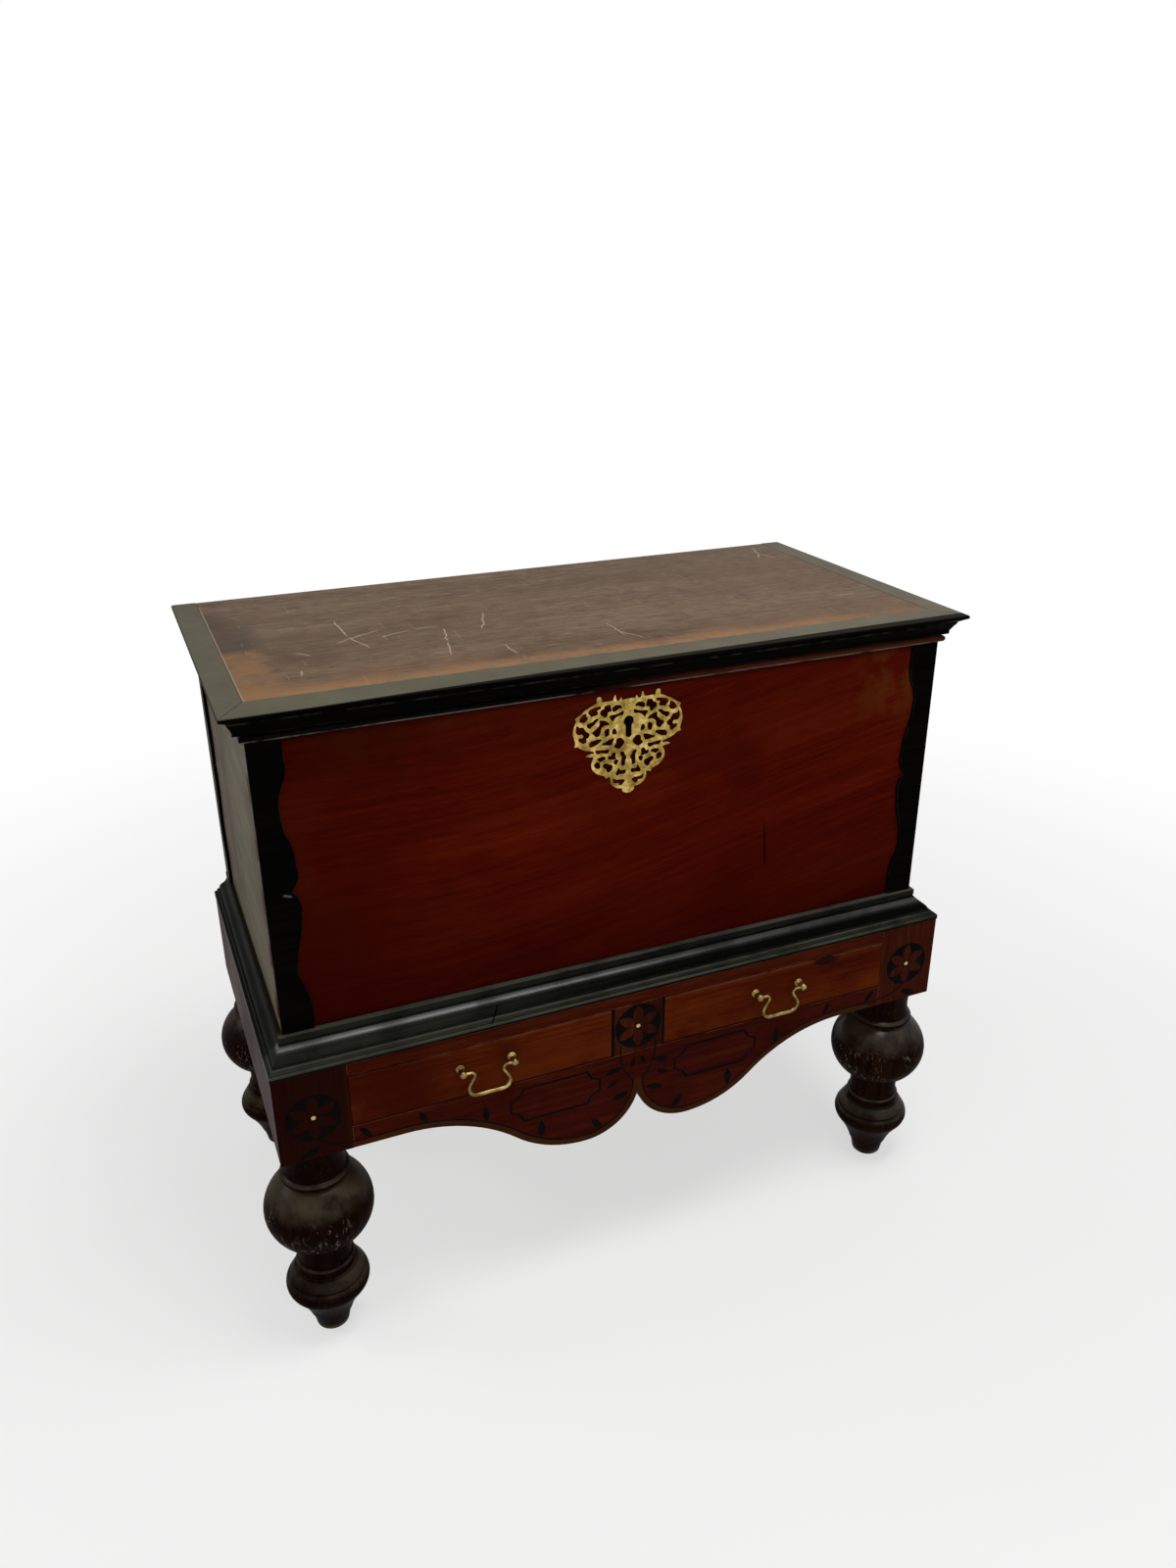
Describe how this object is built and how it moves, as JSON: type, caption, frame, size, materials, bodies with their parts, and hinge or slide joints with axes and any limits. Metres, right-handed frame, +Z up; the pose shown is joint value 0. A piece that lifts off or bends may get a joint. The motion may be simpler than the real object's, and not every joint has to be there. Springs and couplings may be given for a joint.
{
  "type": "inlaid trunk",
  "caption": "Flat-lidded wooden chest with dark waved corner strips and a pierced brass lock plate, set on an inlaid stand with bulbous turned legs and bail-handled drawers.",
  "frame": {"origin": "on the floor under the middle of the stand", "axes": "+X to the right seen from the front, +Y to the back, +Z up; the front faces -Y"},
  "size_m": [1.116, 0.601, 0.9845],
  "materials": {
    "leg_wood": "dark waxed, worn on the balls",
    "stand_wood": "dark red-brown, old polish",
    "drawer_wood": "orange-brown, old polish",
    "chest_wood": "deep red-brown, old polish",
    "lid_wood": "worn and scratched, half matt",
    "hidden_wood": "bare, planed",
    "ebony": "black, waxed",
    "bone": "polished bone",
    "brass": "old polished brass",
    "iron": "black iron"
  },
  "bodies": {
    "stand": {"leg_front_left": "leg_wood", "leg_front_right": "leg_wood", "leg_back_left": "leg_wood", "leg_back_right": "leg_wood", "post_front_left": "stand_wood", "post_front_right": "stand_wood", "post_back_left": "stand_wood", "post_back_right": "stand_wood", "front_top_rail": "stand_wood", "centre_stile": "stand_wood", "front_apron": "stand_wood", "left_apron": "stand_wood", "right_apron": "stand_wood", "back_rail": "stand_wood", "drawer_runners": "hidden_wood", "drawer_kickers": "hidden_wood", "base_moulding_front": "ebony", "base_moulding_left": "ebony", "base_moulding_right": "ebony", "rosette_inlays": "ebony", "rosette_dots": "bone", "string_inlays": "ebony", "leaf_inlays": "ebony"},
    "chest": {"chest_front": "chest_wood", "chest_back": "chest_wood", "chest_left_side": "chest_wood", "chest_right_side": "chest_wood", "chest_bottom": "chest_wood", "front_left_strip": "ebony", "front_right_strip": "ebony", "rear_strips": "ebony", "rim_moulding_front": "ebony", "rim_moulding_left": "ebony", "rim_moulding_right": "ebony", "escutcheon": "brass", "escutcheon_nails": "brass", "lock_case": "iron", "hinge_chest_leaves": "brass", "hinge_pins": "brass"},
    "lock_bolt": {"lock_bolt": "iron"},
    "lid": {"lid_panel": "lid_wood", "lid_front_edging": "ebony", "lid_left_edging": "ebony", "lid_right_edging": "ebony", "hinge_lid_leaves": "brass", "lid_staple": "iron"},
    "left_drawer": {"left_drawer_front": "drawer_wood", "left_drawer_sides": "hidden_wood", "left_drawer_back": "hidden_wood", "left_drawer_bottom": "hidden_wood", "left_handle_posts": "brass", "left_handle_nuts": "iron"},
    "left_bail": {"left_bail": "brass"},
    "right_drawer": {"right_drawer_front": "drawer_wood", "right_drawer_sides": "hidden_wood", "right_drawer_back": "hidden_wood", "right_drawer_bottom": "hidden_wood", "right_handle_posts": "brass", "right_handle_nuts": "iron"},
    "right_bail": {"right_bail": "brass"}
  },
  "joints": [
    {"name": "chest_lift", "type": "slide", "parent": "stand", "child": "chest", "axis": [0, 0, 1], "range_m": [0, 0.08]},
    {"name": "lid_hinge", "type": "hinge", "parent": "chest", "child": "lid", "pos_m": [0, 0.2779, 0.9525], "axis": [-1, 0, 0], "range_deg": [0, 100]},
    {"name": "bolt_slide", "type": "slide", "parent": "chest", "child": "lock_bolt", "axis": [1, 0, 0], "range_m": [0, 0.014]},
    {"name": "left_drawer_slide", "type": "slide", "parent": "stand", "child": "left_drawer", "axis": [0, -1, 0], "range_m": [0, 0.33]},
    {"name": "left_bail_swing", "type": "hinge", "parent": "left_drawer", "child": "left_bail", "pos_m": [-0.23625, -0.2865, 0.43], "axis": [-1, 0, 0], "range_deg": [-15, 180]},
    {"name": "right_drawer_slide", "type": "slide", "parent": "stand", "child": "right_drawer", "axis": [0, -1, 0], "range_m": [0, 0.33]},
    {"name": "right_bail_swing", "type": "hinge", "parent": "right_drawer", "child": "right_bail", "pos_m": [0.23625, -0.2865, 0.43], "axis": [-1, 0, 0], "range_deg": [-15, 180]}
  ]
}
